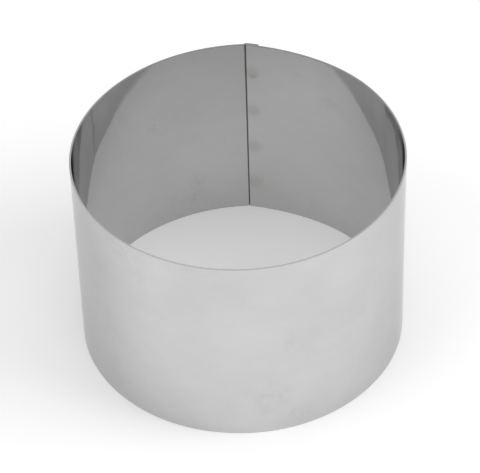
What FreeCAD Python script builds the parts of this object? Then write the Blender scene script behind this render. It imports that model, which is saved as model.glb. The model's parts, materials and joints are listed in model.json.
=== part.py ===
import FreeCAD
import Part

import os
from math import atan2, cos, radians, sin, sqrt

# Pastry ring: an open mould with no base and no lid, for cutting, baking and plating.
# It is one strip of stainless sheet, rolled round until its ends overlap. The end on the left of
# the seam is joggled outwards by one thickness of sheet and laid over the other end, so that the
# bore stays smooth, and a column of spot welds closes the lap.
# Millimetres. The origin is the centre of the round bore, on the plane that the ring stands on.
# +Z is up, and the joggle starts on +Y. Azimuths run from +Y towards +X, in degrees.

# The ring
outside_diameter = 89.0
height = 60.0
sheet = 0.5
edge_round = 0.08

# The strip's ends leave the rollers flatter than the rest, so the seam stands out of the round
seam_peak = 1.6
left_shoulder_angle = 60.0
right_shoulder_angle = 30.0

# The joggle, and the lap that it makes room for
joggle_inside_radius = 0.3
lap_gap = 0.05

# Spot welds, and the shallow marks that the electrodes leave on both faces of the lap
weld_count = 4
weld_diameter = 2.0
weld_margin = 0.7
weld_end_distance = 10.0
electrode_diameter = 4.0
mark_diameter = 2.8
mark_depth = 0.05

# Worked out from the sizes above
bore_radius = outside_diameter / 2 - sheet
joggle_radius = joggle_inside_radius + sheet / 2
lap_length = weld_diameter + 2 * weld_margin
ply_step = sheet + lap_gap
full_turn = 360.0


def towards(azimuth):
    """Unit vector in plan at an azimuth, from +Y towards +X."""
    return FreeCAD.Vector(sin(radians(azimuth)), cos(radians(azimuth)), 0)


def azimuth_of(vector):
    """Azimuth of a plan vector, from +Y towards +X, in radians."""
    return atan2(vector.x, vector.y)


def unit(vector):
    """The vector at length one."""
    return vector * (1 / vector.Length)


def shoulder_centre(leaving, peak):
    """Centre of the flatter arc that leaves the bore at an azimuth and runs through the peak.

    The arc is tangent to the bore where it leaves it, so its centre lies on the line from there
    through the origin, at the place that is as far from the peak as from the leaving point.
    """
    direction = towards(leaving)
    along = peak.dot(direction)
    offset = (bore_radius ** 2 - peak.dot(peak)) / (2 * (bore_radius - along))
    return direction * offset


def circles_meet(centre_a, radius_a, centre_b, radius_b):
    """The point further along +X where two circles in plan cross."""
    apart = centre_b - centre_a
    distance = apart.Length
    along = (distance ** 2 + radius_a ** 2 - radius_b ** 2) / (2 * distance)
    across = sqrt(radius_a ** 2 - along ** 2)
    forward = unit(apart)
    sideways = FreeCAD.Vector(-forward.y, forward.x, 0)
    points = [centre_a + forward * along + sideways * side for side in (across, -across)]
    return max(points, key=lambda point: point.x)


def bend(centre, middle_radius, start, end, clockwise=True):
    """One arc of the strip's middle line: its centre, radius, and first and last azimuth."""
    first = azimuth_of(start - centre)
    last = azimuth_of(end - centre)
    turn = radians(full_turn)
    if clockwise and last < first:
        last += turn
    if not clockwise and last > first:
        last -= turn
    return centre, middle_radius, first, last, clockwise


def strip_bends():
    """The strip's middle line in plan, clockwise from the end under the lap to the end over it."""
    half = sheet / 2
    origin = FreeCAD.Vector(0, 0, 0)
    peak = FreeCAD.Vector(0, bore_radius + seam_peak, 0)

    left_centre = shoulder_centre(-left_shoulder_angle, peak)
    left_radius = (peak - left_centre).Length + half
    right_centre = shoulder_centre(right_shoulder_angle, peak)
    right_radius = (peak - right_centre).Length + half
    over_radius = right_radius + ply_step

    out_centre = left_centre + unit(peak - left_centre) * (left_radius + joggle_radius)
    back_centre = circles_meet(out_centre, 2 * joggle_radius,
                               right_centre, over_radius - joggle_radius)

    joggle_start = left_centre + unit(peak - left_centre) * left_radius
    joggle_middle = (out_centre + back_centre) * 0.5
    lap_direction = unit(back_centre - right_centre)
    joggle_end = right_centre + lap_direction * over_radius

    faying_radius = right_radius + half
    lap_start = azimuth_of(lap_direction)
    lap_end = lap_start + lap_length / faying_radius
    over_end = right_centre + FreeCAD.Vector(sin(lap_end), cos(lap_end), 0) * over_radius

    middle = bore_radius + half
    round_start = towards(right_shoulder_angle) * middle
    round_end = towards(-left_shoulder_angle) * middle
    under_end = right_centre + lap_direction * right_radius
    bends = [
        bend(right_centre, right_radius, under_end, round_start),
        bend(origin, middle, round_start, round_end),
        bend(left_centre, left_radius, round_end, joggle_start),
        bend(out_centre, joggle_radius, joggle_start, joggle_middle, clockwise=False),
        bend(back_centre, joggle_radius, joggle_middle, joggle_end),
        bend(right_centre, over_radius, joggle_end, over_end),
    ]
    lap_middle = (lap_start + lap_end) / 2
    lap_axis = FreeCAD.Vector(sin(lap_middle), cos(lap_middle), 0)
    return bends, (right_centre, lap_axis, right_radius, over_radius)


def face_edges(bends, outward):
    """Arcs of one face of the strip: half a thickness to the outside or the inside."""
    edges = []
    for centre, radius, first, last, clockwise in bends:
        side = outward if clockwise else -outward
        reach = radius + side * sheet / 2
        points = [centre + FreeCAD.Vector(sin(angle), cos(angle), 0) * reach
                  for angle in (first, (first + last) / 2, last)]
        edges.append(Part.Arc(*points).toShape())
    return edges


def rolled_strip(bends):
    """The strip's outline in plan, raised to the ring's height, with all its edges deburred.

    The corners of the cut ends are rounded first, so that the edges round the top and the bottom
    run on smoothly past them.
    """
    outer = face_edges(bends, 1)
    inner = face_edges(bends, -1)
    start_cut = Part.makeLine(inner[0].Vertexes[0].Point, outer[0].Vertexes[0].Point)
    end_cut = Part.makeLine(inner[-1].Vertexes[-1].Point, outer[-1].Vertexes[-1].Point)
    outline = Part.Wire(Part.__sortEdges__(outer + inner + [start_cut, end_cut]))
    strip = Part.Face(outline).extrude(FreeCAD.Vector(0, 0, height))
    corners = start_cut.Vertexes + end_cut.Vertexes
    strip = strip.makeFillet(edge_round, corner_edges(strip, corners))
    return strip.makeFillet(edge_round, rim_edges(strip))


def corner_edges(strip, corners):
    """The strip's upright edges over the corners of its cut ends."""
    near = edge_round / 10
    uprights = [edge for edge in strip.Edges if edge.BoundBox.ZMax - edge.BoundBox.ZMin > near]
    return [edge for edge in uprights
            if any(edge.distToShape(corner)[0] < near for corner in corners)]


def rim_edges(strip):
    """Edges of the strip's bottom and top faces."""
    near = edge_round / 10
    found = []
    for edge in strip.Edges:
        low, high = edge.BoundBox.ZMin, edge.BoundBox.ZMax
        if high - low < near and any(abs(low - level) < near for level in (0.0, height)):
            found.append(edge)
    return found


def weld_heights():
    """Heights of the welds, spread evenly between the two that are nearest the rims."""
    spread = height - 2 * weld_end_distance
    return [weld_end_distance + spread * index / (weld_count - 1) for index in range(weld_count)]


def nugget(lap, level):
    """A weld nugget, from the middle of the ply under the lap to the middle of the one over it."""
    centre, axis, under_radius, over_radius = lap
    foot = centre + axis * under_radius + FreeCAD.Vector(0, 0, level)
    return Part.makeCylinder(weld_diameter / 2, over_radius - under_radius, foot, axis)


def electrode_mark(surface, inwards):
    """The dished tip of an electrode, pressed into the sheet at a point of its surface.

    The tip is the end of a round bar, crowned so that it leaves a mark of the right width when it
    has gone mark_depth into flat sheet.
    """
    half_mark = mark_diameter / 2
    crown = (half_mark ** 2 + mark_depth ** 2) / (2 * mark_depth)
    ball = Part.makeSphere(crown, surface - inwards * (crown - mark_depth))
    bar = Part.makeCylinder(electrode_diameter / 2, 2 * sheet, surface - inwards * sheet, inwards)
    return bar.common(ball)


def electrode_marks(lap, level):
    """The pair of marks that one weld leaves on the outside and the inside of the lap."""
    centre, axis, under_radius, over_radius = lap
    lift = FreeCAD.Vector(0, 0, level)
    outside = centre + axis * (over_radius + sheet / 2) + lift
    inside = centre + axis * (under_radius - sheet / 2) + lift
    return [electrode_mark(outside, -axis), electrode_mark(inside, axis)]


def ring():
    """The strip, closed into a ring by its spot welds."""
    bends, lap = strip_bends()
    strip = rolled_strip(bends)
    levels = weld_heights()
    welded = strip.fuse([nugget(lap, level) for level in levels])
    marks = [mark for level in levels for mark in electrode_marks(lap, level)]
    return welded.cut(marks)


def main():
    os.makedirs("parts", exist_ok=True)
    shape = ring()
    if shape.ShapeType == "Compound" and len(shape.Solids) == 1:
        shape = shape.Solids[0]
    print("ring: valid", shape.isValid(), "solids", len(shape.Solids), "faces", len(shape.Faces),
          "volume", round(shape.Volume, 2), "box", shape.BoundBox)
    shape.exportStep("parts/ring.step")


main()
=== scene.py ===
import json
from math import atan2, cos, hypot, pi, radians, sqrt, tau

import bpy
import numpy as np
from mathutils import Matrix, Vector


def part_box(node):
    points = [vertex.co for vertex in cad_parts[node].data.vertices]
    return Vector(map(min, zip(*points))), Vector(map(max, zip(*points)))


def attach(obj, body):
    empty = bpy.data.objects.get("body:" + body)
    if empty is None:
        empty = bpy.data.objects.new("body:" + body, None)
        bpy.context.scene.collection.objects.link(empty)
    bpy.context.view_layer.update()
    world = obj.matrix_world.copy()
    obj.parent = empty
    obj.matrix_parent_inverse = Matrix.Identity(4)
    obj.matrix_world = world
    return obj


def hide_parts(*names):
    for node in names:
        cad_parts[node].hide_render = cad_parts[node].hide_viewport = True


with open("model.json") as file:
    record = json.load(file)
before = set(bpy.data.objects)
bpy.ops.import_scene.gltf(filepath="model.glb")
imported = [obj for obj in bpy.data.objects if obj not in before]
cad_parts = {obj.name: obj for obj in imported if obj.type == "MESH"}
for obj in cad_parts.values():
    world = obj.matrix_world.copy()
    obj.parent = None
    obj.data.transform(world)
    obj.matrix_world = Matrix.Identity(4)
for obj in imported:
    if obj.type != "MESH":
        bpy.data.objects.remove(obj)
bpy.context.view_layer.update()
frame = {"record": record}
scene = bpy.context.scene

# The strip
# One strip of cold-rolled stainless sheet, sheared to length, deburred and rolled round. Its ends
# leave the rollers flatter than the rest, so the ring stands a little out of round at the seam.
# One end is joggled outwards by the sheet's thickness and laid over the other.
MM = 0.001
ring_low, ring_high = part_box("ring")
height = ring_high.z - ring_low.z
outside_radius = -ring_low.y
bore = next(mount for mount in frame["record"]["mounts"] if mount["name"] == "bore")
bore_radius = bore["dims"]["r_mm"] * MM
sheet = outside_radius - bore_radius
edge_round = 0.08 * MM
seam_peak = 1.6 * MM
left_shoulder = radians(60)
right_shoulder = radians(30)
joggle_radius = 0.3 * MM + sheet / 2
lap_gap = 0.05 * MM
lap_length = 3.4 * MM


def heading(azimuth):
    """Unit vector in plan at an azimuth from +Y towards +X; an array of azimuths gives an array."""
    return np.stack([np.sin(azimuth), np.cos(azimuth)], axis=-1)


def azimuth_of(vector):
    """Azimuth of one plan vector, from +Y towards +X."""
    return atan2(vector[0], vector[1])


def shoulder_centre(leaving):
    """Centre of the flatter arc, tangent to the bore at an azimuth, that runs through the peak.

    It lies on the line from the origin to the leaving point, at the offset c where it is as far
    from the peak p as from that point: c = (r^2 - p^2) / (2 (r - p cos(leaving))).
    """
    peak = bore_radius + seam_peak
    offset = (bore_radius ** 2 - peak ** 2) / (2 * (bore_radius - peak * cos(leaving)))
    return heading(leaving) * offset


def circles_meet(centre_a, radius_a, centre_b, radius_b):
    """The point further along +X where two circles cross, by the triangle of their radii."""
    apart = centre_b - centre_a
    distance = hypot(*apart)
    along = (distance ** 2 + radius_a ** 2 - radius_b ** 2) / (2 * distance)
    across = sqrt(radius_a ** 2 - along ** 2)
    forward = apart / distance
    sideways = np.array([-forward[1], forward[0]])
    points = [centre_a + forward * along + sideways * side for side in (across, -across)]
    return max(points, key=lambda point: point[0])


def middle_line():
    """Points, outward normals and run of the strip's middle line, from the end under the lap.

    It is six tangent arcs: the flatter end under the lap, the round of the bore, the other flatter
    end, the joggle's bend outwards and its bend back, and the end over the lap. The joggle's bends
    share one radius. The first is tangent to its shoulder at the peak, and the second to the circle
    that the upper ply follows, and their centres are two radii apart. Each row below is an arc, or
    a stretch of one: its centre, its radius, its first and last azimuth, and its number of steps.
    """
    half = sheet / 2
    peak = np.array([0, bore_radius + seam_peak])
    left, right = shoulder_centre(-left_shoulder), shoulder_centre(right_shoulder)
    left_radius = hypot(*(peak - left)) + half
    under_radius = hypot(*(peak - right)) + half
    over_radius = under_radius + sheet + lap_gap
    joggle_start = azimuth_of(peak - left)
    out = left + heading(joggle_start) * (left_radius + joggle_radius)
    back = circles_meet(out, 2 * joggle_radius, right, over_radius - joggle_radius)
    crossing = azimuth_of(back - out)
    lap_start = azimuth_of(back - right)
    lap_end = lap_start + lap_length / (under_radius + half)
    arcs = [
        (right, under_radius, lap_start, lap_end, 14),
        (right, under_radius, lap_end, right_shoulder, 24),
        (np.zeros(2), bore_radius + half, right_shoulder, tau - left_shoulder, 340),
        (left, left_radius, -left_shoulder, joggle_start, 46),
        (out, joggle_radius, joggle_start + pi, crossing, 10),
        (back, joggle_radius, crossing - pi, lap_start, 10),
        (right, over_radius, lap_start, lap_end, 14),
    ]
    points, normals = [], []
    for centre, radius, first, last, count in arcs:
        steps = np.linspace(first, last, count + 1)[1 if points else 0:]
        points.append(centre + heading(steps) * radius)
        normals.append(heading(steps) if last > first else -heading(steps))
    points, normals = np.concatenate(points), np.concatenate(normals)
    run = np.concatenate([[0], np.cumsum(np.hypot(*np.diff(points, axis=0).T))])
    return points, normals, run


# The welds
# A column of spot welds closes the lap. Each leaves a shallow dished mark on both faces, where the
# electrodes pressed, and a faint halo of heat tint round it.
weld_count = 4
weld_end_distance = 10.0 * MM
weld_heights = np.linspace(weld_end_distance, height - weld_end_distance, weld_count)
weld_pitch = weld_heights[1] - weld_heights[0]
mark_diameter = 2.8 * MM
mark_depth = 0.05 * MM
mark_crown = (mark_diameter ** 2 / 4 + mark_depth ** 2) / (2 * mark_depth)
mark_lip = 0.003 * MM
tint_radius = 1.9 * MM


def from_weld(run, level, lap_middle):
    """Squared distance on the sheet from a point to the middle of the nearest weld."""
    return (run - lap_middle) ** 2 + np.min((level[..., None] - weld_heights) ** 2, axis=-1)


def dish(run, level, lap_middle):
    """Depth of the marks: a ball's cap, depth - distance^2 / (2 crown), with its lip softened."""
    depth = mark_depth - from_weld(run, level, lap_middle) / (2 * mark_crown)
    return mark_lip * np.logaddexp(0, depth / mark_lip)


def tint(run, level, lap_middle):
    """Strength of the heat tint: a bell in the distance from the nearest weld."""
    return np.exp(-from_weld(run, level, lap_middle) / tint_radius ** 2)


# The sheet's surface
# Thin sheet is never quite true: it keeps long soft waves, and faint bands from the rollers. The
# welds hold it stiff beside the lap.
stiff_run = 14.0 * MM
corner_steps = 5


def unevenness(run, level, length):
    """How far the sheet lies from its true form, always inwards.

    A sum of sine waves, each so many times along the strip, so many times up it, and so many
    millimetres high, shifted to be never above zero. It fades to nothing towards the lap, as the
    smooth step 3 t^2 - 2 t^3.
    """
    waves = [(3, 0.6, 0.0300), (5, -1.1, 0.0160), (8, 0.4, 0.0120), (13, 1.4, 0.0050),
             (21, -0.9, 0.0025), (34, 0.0, 0.0012), (55, 0.0, 0.0006), (89, 0.0, 0.0002)]
    shifts = np.random.default_rng(7).uniform(0, tau, len(waves))
    total = sum(size * (np.sin(tau * (around * run / length + upward * level / height) + shift) - 1)
                for shift, (around, upward, size) in zip(shifts, waves))
    fade = np.clip(np.minimum(run, length - run) / stiff_run, 0, 1)
    return total * MM * fade * fade * (3 - 2 * fade)


def face_rows():
    """Heights of the mesh rows on a face, close together by the rims and over the weld marks."""
    rim = edge_round * np.array([1, 2, 5, 12])
    ends = np.array([2.4, 4.2, 6.0]) * MM
    marks = (weld_heights[:, None] + np.linspace(-0.58, 0.58, 12) * mark_diameter).ravel()
    between = (weld_heights[:-1, None] + weld_pitch * np.linspace(0.22, 0.78, 6)).ravel()
    return np.sort(np.concatenate([rim, ends, marks, between, height - ends, height - rim]))


def section():
    """The strip's cut section as a closed loop: offsets across the sheet, heights, and face rows.

    It goes up the inner face, over the top, down the outer face and under the bottom, with quarter
    circles at the deburred corners. The outer half mirrors the inner half.
    """
    rows = face_rows()
    turn = np.linspace(0, pi / 2, corner_steps + 1)[1:]
    corner_across = -sheet / 2 + edge_round * (1 - np.cos(turn))
    corner_up = height - edge_round * (1 - np.sin(turn))
    inner_across = np.concatenate([np.full(len(rows), -sheet / 2), corner_across])
    inner_up = np.concatenate([rows, corner_up])
    across = np.concatenate([inner_across, -inner_across[::-1],
                             -corner_across, corner_across[::-1]])
    up = np.concatenate([inner_up, inner_up[::-1], height - corner_up, height - corner_up[::-1]])
    return across, up, len(rows)


def strip_faces(columns, around, rows, inner, outer):
    """The mesh's faces, and the number of each one's finish: 0 outside, 1 inside, 2 on cut edges.

    Quads join each column of vertices to the next one, and at both cut ends a ladder of quads joins
    the inner side of the last column to the outer side.
    """
    first, step = np.meshgrid(np.arange(columns - 1) * around, np.arange(around), indexing="ij")
    after = (step + 1) % around
    walls = np.stack([first + step, first + around + step, first + around + after, first + after],
                     axis=-1).reshape(-1, 4)
    finish = np.full(step.shape, 2)
    finish[outer[step] & outer[after]] = 0
    finish[inner[step] & inner[after]] = 1

    up_inner = np.arange(-corner_steps, rows + corner_steps)
    up_outer = 2 * (rows + corner_steps) - 1 - up_inner
    cap = np.stack([up_inner[:-1], up_inner[1:], up_outer[1:], up_outer[:-1]], axis=-1) % around
    faces = np.concatenate([walls, cap, cap[:, ::-1] + (columns - 1) * around])
    return faces, np.concatenate([finish.ravel(), np.full(2 * len(cap), 2)])


def strip_mesh():
    """The section carried along the middle line, with its cut ends closed and their edges rounded.

    A vertex is the middle line's point, moved along its normal by the section's offset across the
    sheet, less the dish of a weld mark on its face, plus the unevenness of the whole sheet. Near a
    cut end the offset shrinks as a quarter circle. Two attributes go with it: the heat tint, and a
    painted highlight for the cut edge, half of one less the cosine of the turn from the lap, so
    nought at the lap and one opposite it: the rim's colour is painted darker by the lap and
    brighter at the front, in place of the light that falls on it.
    """
    line, line_normals, line_run = middle_line()
    length = line_run[-1]
    by_end = edge_round * np.array([0.1, 0.3, 0.6, 1.0])
    run = np.sort(np.concatenate([line_run, by_end, length - by_end]))
    points = np.stack([np.interp(run, line_run, side) for side in line.T], axis=-1)
    normals = np.stack([np.interp(run, line_run, side) for side in line_normals.T], axis=-1)
    normals /= np.linalg.norm(normals, axis=1, keepdims=True)
    across, up, rows = section()
    run_grid, up_grid = np.meshgrid(run, up, indexing="ij")

    to_end = np.clip(np.minimum(run, length - run) / edge_round, 0, 1)
    shrink = 1 - edge_round / (sheet / 2) * (1 - np.sqrt(1 - (1 - to_end) ** 2))
    under_lap, over_lap = lap_length / 2, length - lap_length / 2
    inner = across <= -sheet / 2
    outer = across >= sheet / 2
    offset = across * shrink[:, None] + unevenness(run_grid, up_grid, length)
    offset += np.where(inner, dish(run_grid, up_grid, under_lap), 0)
    offset -= np.where(outer, dish(run_grid, up_grid, over_lap), 0)
    plan = points[:, None] + normals[:, None] * offset[..., None]
    vertices = np.concatenate([plan, up_grid[..., None]], axis=-1).reshape(-1, 3)
    faces, finish = strip_faces(*run_grid.shape, rows, inner, outer)

    mesh = bpy.data.meshes.new("ring_sheet")
    mesh.from_pydata(vertices.tolist(), [], faces.tolist())
    mesh.polygons.foreach_set("material_index", finish.astype(np.int32))
    mesh.shade_smooth()
    uv = mesh.uv_layers.new(name="sheet")
    flat = np.stack([run_grid.ravel(), up_grid.ravel()], axis=-1)
    uv.data.foreach_set("uv", flat[faces.ravel()].astype(np.float32).ravel())
    heat = np.maximum(tint(run_grid, up_grid, under_lap), tint(run_grid, up_grid, over_lap))
    # Painted light on the cut edge: nought by the lap, one at the front opposite it, so the rim is
    # painted darker at the back and brighter at the front.
    rim_light_paint = (1 - np.cos(tau * run_grid / length)) / 2
    for name, values in (("weld_heat", heat), ("painted_rim_light", rim_light_paint)):
        spread = mesh.attributes.new(name, "FLOAT", "POINT")
        spread.data.foreach_set("value", values.astype(np.float32).ravel())
    mesh.validate()
    mesh.update()
    return mesh


# The finish
# Cold-rolled stainless sheet: grey satin, brighter inside, with a fine grain that runs round the
# ring, soft clouds from the rolling and a few faint smudges from handling. The cut edges are
# deburred but not polished, and carry painted light: painted dark by the lap and painted bright
# opposite it, at the front.
micrometre = 1e-6
smudge_grey = (0.35, 0.35, 0.35, 1)
straw_tint = (0.47, 0.41, 0.34, 1)


def feed(socket, value):
    """Link a socket to another node's, or set it to a value."""
    if isinstance(value, bpy.types.NodeSocket):
        socket.id_data.links.new(value, socket)
    else:
        socket.default_value = value


def combine(nodes, operation, *values):
    """A Math node of values or sockets."""
    node = nodes.new("ShaderNodeMath")
    node.operation = operation
    for socket, value in zip(node.inputs, values):
        feed(socket, value)
    return node.outputs["Value"]


def weighed_sum(nodes, *parts):
    """A sum of sockets, each times its weight."""
    total = 0.0
    for value, weight in parts:
        total = combine(nodes, "MULTIPLY_ADD", value, weight, total)
    return total


def ramp(nodes, value, low, high, to_low=0.0, to_high=1.0):
    """A Map Range node: a straight ramp from one pair of values to another, and flat beyond it."""
    node = nodes.new("ShaderNodeMapRange")
    for name, number in (("Value", value), ("From Min", low), ("From Max", high),
                         ("To Min", to_low), ("To Max", to_high)):
        feed(node.inputs[name], number)
    return node.outputs["Result"]


def blend(nodes, share, plain, other):
    """A Mix node from one colour to another."""
    mix = nodes.new("ShaderNodeMix")
    mix.data_type = "RGBA"
    colour_a, colour_b = mix.inputs[6], mix.inputs[7]
    feed(mix.inputs["Factor"], share)
    feed(colour_a, plain)
    feed(colour_b, other)
    return mix.outputs[2]


def noise(nodes, vector, scale, detail, stretch=(1, 1, 1)):
    """Noise over a vector that is stretched first."""
    stretched = nodes.new("ShaderNodeMapping")
    feed(stretched.inputs["Vector"], vector)
    feed(stretched.inputs["Scale"], stretch)
    texture = nodes.new("ShaderNodeTexNoise")
    feed(texture.inputs["Vector"], stretched.outputs["Vector"])
    feed(texture.inputs["Scale"], scale)
    feed(texture.inputs["Detail"], detail)
    return texture.outputs["Fac"]


def finish_group():
    """Node group: the steel's colour and roughness, and its relief in micrometres.

    The relief is noise squeezed to fine lines along the strip's run, plus two sizes of low waves.
    The clouds are a weighed sum of three sizes of noise, the middle one drawn out along the run,
    and with them the colour goes from Dull to Bright and the roughness from low to high. A share of
    the colour, given by the material, follows instead the painted rim light: a painted highlight
    and painted shade on the cut edge, from the mesh. The smudges are a ramp of fine noise by a ramp
    of a broader one, so speckled inside a patch, and they are darker and rougher. Heat brings a
    straw tint, and where it is strongest, under the electrodes, the sheet is pressed matt.
    """
    group = bpy.data.node_groups.new("rolled_steel_finish", "ShaderNodeTree")
    sockets = {
        "INPUT": {"Run And Height": "Vector", "Place": "Vector", "Dull": "Color", "Bright": "Color",
                  "Roughness Low": "Float", "Roughness High": "Float", "Rim Light Share": "Float",
                  "Painted Rim Light": "Float", "Heat": "Float"},
        "OUTPUT": {"Colour": "Color", "Roughness": "Float", "Relief": "Float"},
    }
    for direction, named in sockets.items():
        for name, kind in named.items():
            group.interface.new_socket(name, in_out=direction, socket_type="NodeSocket" + kind)
    nodes = group.nodes
    given = nodes.new("NodeGroupInput").outputs
    made = nodes.new("NodeGroupOutput").inputs
    sheet_place, place, heat = given["Run And Height"], given["Place"], given["Heat"]

    grain = noise(nodes, sheet_place, 150.0, 3.0, (1, 40, 1))
    ripple = noise(nodes, place, 700.0, 1.0)
    swell = noise(nodes, place, 120.0, 1.0)
    feed(made["Relief"], weighed_sum(nodes, (grain, 0.2), (ripple, 1.0), (swell, 12.0)))

    broad = noise(nodes, place, 45.0, 2.0)
    drawn_out = noise(nodes, sheet_place, 260.0, 3.0, (0.5, 1, 1))
    speckle = noise(nodes, place, 1100.0, 2.0)
    clouds = weighed_sum(nodes, (broad, 0.60), (drawn_out, 0.26), (speckle, 0.14))
    fleck = ramp(nodes, noise(nodes, place, 650.0, 1.0), 0.35, 0.65)
    patch = ramp(nodes, noise(nodes, place, 60.0, 2.0), 0.60, 0.74)
    smudges = combine(nodes, "MULTIPLY", fleck, patch)

    cloudy = ramp(nodes, clouds, 0.35, 0.65)
    # Painted light: the share of the colour given by the material follows the painted rim highlight
    # and shade.
    from_cloudy = combine(nodes, "SUBTRACT", given["Painted Rim Light"], cloudy)
    shade = weighed_sum(nodes, (from_cloudy, given["Rim Light Share"]), (cloudy, 1.0))
    clean = blend(nodes, shade, given["Dull"], given["Bright"])
    handled = blend(nodes, combine(nodes, "MULTIPLY", smudges, 0.15), clean, smudge_grey)
    straw = ramp(nodes, heat, 0.10, 0.60, 0.0, 0.26)
    feed(made["Colour"], blend(nodes, straw, handled, straw_tint))

    rolled = ramp(nodes, clouds, 0.3, 0.7, given["Roughness Low"], given["Roughness High"])
    pressed = ramp(nodes, heat, 0.54, 0.64)
    feed(made["Roughness"], weighed_sum(nodes, (rolled, 1.0), (smudges, 0.03), (pressed, 0.11)))
    return group


steel_finish = finish_group()


def steel(name, dull, bright, roughness_low, roughness_high, rim_light_paint, relief):
    """Stainless steel: metal in the group's colour and roughness, with its relief as bump.

    Its light is drawn out across the grain. The relief given here is the size in metres of one
    unit of the group's.
    """
    material = bpy.data.materials.new(name)
    material.use_nodes = True
    nodes = material.node_tree.nodes
    shader = nodes["Principled BSDF"].inputs
    shader["Metallic"].default_value = 1.0
    shader["Specular Tint"].default_value = (0.88, 0.88, 0.88, 1)
    shader["Anisotropic"].default_value = 0.85
    shader["Anisotropic Rotation"].default_value = 0.25

    uv = nodes.new("ShaderNodeUVMap")
    uv.uv_map = "sheet"
    # The cut edge's painted highlight and painted shade, read from the mesh.
    rim_light_attribute = nodes.new("ShaderNodeAttribute")
    rim_light_attribute.attribute_name = "painted_rim_light"
    heat = nodes.new("ShaderNodeAttribute")
    heat.attribute_name = "weld_heat"
    finish = nodes.new("ShaderNodeGroup")
    finish.node_tree = steel_finish
    given = {
        "Run And Height": uv.outputs["UV"],
        "Place": nodes.new("ShaderNodeTexCoord").outputs["Object"],
        "Dull": (dull, dull, dull, 1),
        "Bright": (bright, bright, bright, 1),
        "Roughness Low": roughness_low,
        "Roughness High": roughness_high,
        # How much of the colour follows the painted rim light.
        "Rim Light Share": rim_light_paint,
        "Painted Rim Light": rim_light_attribute.outputs["Fac"],
        "Heat": heat.outputs["Fac"],
    }
    for socket, value in given.items():
        feed(finish.inputs[socket], value)

    bump = nodes.new("ShaderNodeBump")
    bump.inputs["Distance"].default_value = relief
    bump.inputs["Strength"].default_value = 1.0
    feed(bump.inputs["Height"], finish.outputs["Relief"])
    feed(shader["Normal"], bump.outputs["Normal"])
    feed(shader["Base Color"], finish.outputs["Colour"])
    feed(shader["Roughness"], finish.outputs["Roughness"])
    return material


finishes = [
    steel("rolled_outside", dull=0.61, bright=0.66, roughness_low=0.065, roughness_high=0.085,
          rim_light_paint=0.0, relief=micrometre),
    steel("rolled_inside", dull=0.64, bright=0.69, roughness_low=0.055, roughness_high=0.070,
          rim_light_paint=0.0, relief=micrometre),
    # The cut edges: most of their colour is the painted rim light, a painted highlight at the front
    # and painted shade by the lap.
    steel("sheared_edge", dull=0.28, bright=0.51, roughness_low=0.30, roughness_high=0.42,
          rim_light_paint=0.85, relief=10 * micrometre),
]
ring = bpy.data.objects.new("ring_sheet", strip_mesh())
scene.collection.objects.link(ring)
for finish in finishes:
    ring.data.materials.append(finish)
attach(ring, "root")
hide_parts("ring")

# The stage
# A plain white floor under soft light from all round, with a softbox on each side, the stronger on
# the right, and weaker ones in front and overhead.
floor_reach = 3.0
white = (1, 1, 1, 1)
studio_light = 0.42
softbox_side = 0.8

floor_mesh = bpy.data.meshes.new("floor")
corners = [(x * floor_reach, y * floor_reach, 0) for x, y in ((-1, -1), (1, -1), (1, 1), (-1, 1))]
floor_mesh.from_pydata(corners, [], [(0, 1, 2, 3)])
floor = bpy.data.objects.new("floor", floor_mesh)
scene.collection.objects.link(floor)


def seen_directly(nodes, straight_on=1.0, in_gloss=1.0):
    """How far a ray shows a surface to the camera: straight on, off gloss or through glass.

    A ray that has left a matt surface counts as light on that surface, so it gets zero.
    """
    path = nodes.new("ShaderNodeLightPath").outputs
    seen = weighed_sum(nodes, (path["Is Camera Ray"], straight_on),
                       (path["Is Glossy Ray"], in_gloss), (path["Is Transmission Ray"], in_gloss))
    not_from_matt = combine(nodes, "LESS_THAN", path["Diffuse Depth"], 0.5)
    return combine(nodes, "MULTIPLY", seen, not_from_matt)


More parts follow.
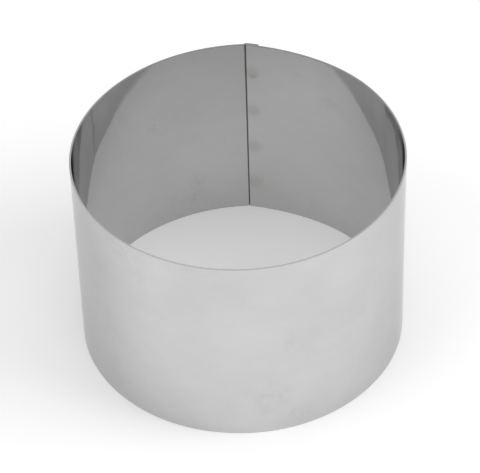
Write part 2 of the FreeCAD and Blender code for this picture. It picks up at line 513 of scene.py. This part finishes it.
def floor_paint():
    """White matt paint, lifted a little towards the background's white where it is seen."""
    material = bpy.data.materials.new("floor_white")
    material.use_nodes = True
    nodes = material.node_tree.nodes
    shader = nodes["Principled BSDF"].inputs
    shader["Base Color"].default_value = (0.88, 0.88, 0.88, 1)
    shader["Roughness"].default_value = 1.0
    shader["Specular IOR Level"].default_value = 0.0
    shader["Emission Color"].default_value = white
    feed(shader["Emission Strength"], seen_directly(nodes, straight_on=0.22, in_gloss=0.12))
    return material


def softbox(name, place, power):
    """A square area lamp that faces the middle of the ring."""
    lamp = bpy.data.lights.new(name, "AREA")
    lamp.shape = "SQUARE"
    lamp.size = softbox_side
    lamp.energy = power
    box = bpy.data.objects.new(name, lamp)
    middle = Vector((0, 0, height / 2))
    aim = (middle - Vector(place)).to_track_quat("-Z", "Y").to_matrix().to_4x4()
    box.matrix_world = Matrix.Translation(place) @ aim
    box.visible_glossy = False
    scene.collection.objects.link(box)


floor_mesh.materials.append(floor_paint())

world = bpy.data.worlds.new("studio")
scene.world = world
world.use_nodes = True
world_nodes = world.node_tree.nodes
background = world_nodes["Background"].inputs
background["Color"].default_value = white
feed(background["Strength"],
     ramp(world_nodes, seen_directly(world_nodes), 0.0, 1.0, studio_light, 1.0))

softbox("key", (0.95, -0.15, 0.75), 6.4)
softbox("fill", (-0.80, -0.42, 0.92), 2.9)
softbox("front", (0.25, -0.90, 0.90), 1.9)
softbox("overhead", (0.0, 0.0, 1.30), 2.4)

# The camera
# It looks down on the ring from in front, as in the photograph, with the seam behind, near the top.
# The place and the angles are those that bring the rim and the foot onto the photograph's.
image_width = 480
sensor_width = 36.0
seam_turn = radians(2.98)
camera_side = -0.11 * MM
camera_back = 517.30 * MM
camera_up = 512.12 * MM
camera_pitch = 0.74996
camera_roll = 0.03154
focal_pixels = 2608.56

camera_data = bpy.data.cameras.new("camera")
camera_data.sensor_width = sensor_width
camera_data.sensor_fit = "HORIZONTAL"
camera_data.lens = focal_pixels * sensor_width / image_width
camera = bpy.data.objects.new("camera", camera_data)
turned = Matrix.Rotation(seam_turn, 4, "Z")
raised = Matrix.Translation((camera_side, -camera_back, camera_up))
pitched = Matrix.Rotation(pi / 2 - camera_pitch, 4, "X")
tilted = Matrix.Rotation(-camera_roll, 4, "Z")
camera.matrix_world = turned @ raised @ pitched @ tilted
scene.collection.objects.link(camera)
scene.camera = camera

scene.view_settings.view_transform = "Standard"
